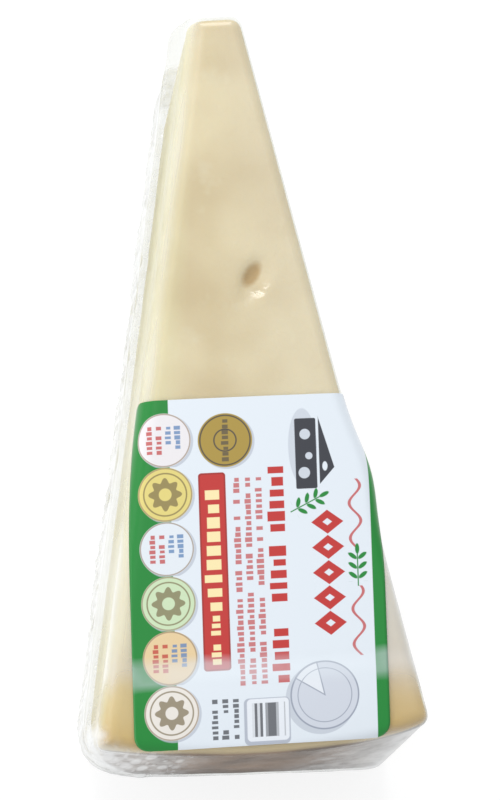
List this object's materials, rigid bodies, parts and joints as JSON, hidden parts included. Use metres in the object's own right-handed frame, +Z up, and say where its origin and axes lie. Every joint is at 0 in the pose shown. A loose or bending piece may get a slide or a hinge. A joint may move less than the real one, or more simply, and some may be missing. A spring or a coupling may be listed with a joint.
{
  "type": "vacuum-packed wedge of hard aged cheese",
  "caption": "Wedge of hard aged cheese sealed in clear vacuum film, with a printed paper label folded over both long edges of its cut face.",
  "frame": {"origin": "middle of the packed wedge's box, on the surface it lies on", "axes": "+Z up through the labelled cut face, +Y towards the narrow nose, so the rind end is at -Y; +X to the right when the nose points away"},
  "size_m": [0.079, 0.1796, 0.1062],
  "materials": {
    "cheese": "satin",
    "rind": "satin",
    "film": "gloss",
    "label": "satin"
  },
  "bodies": {
    "root": {"bag_with_cheese": "cheese", "label": "label"}
  },
  "joints": []
}
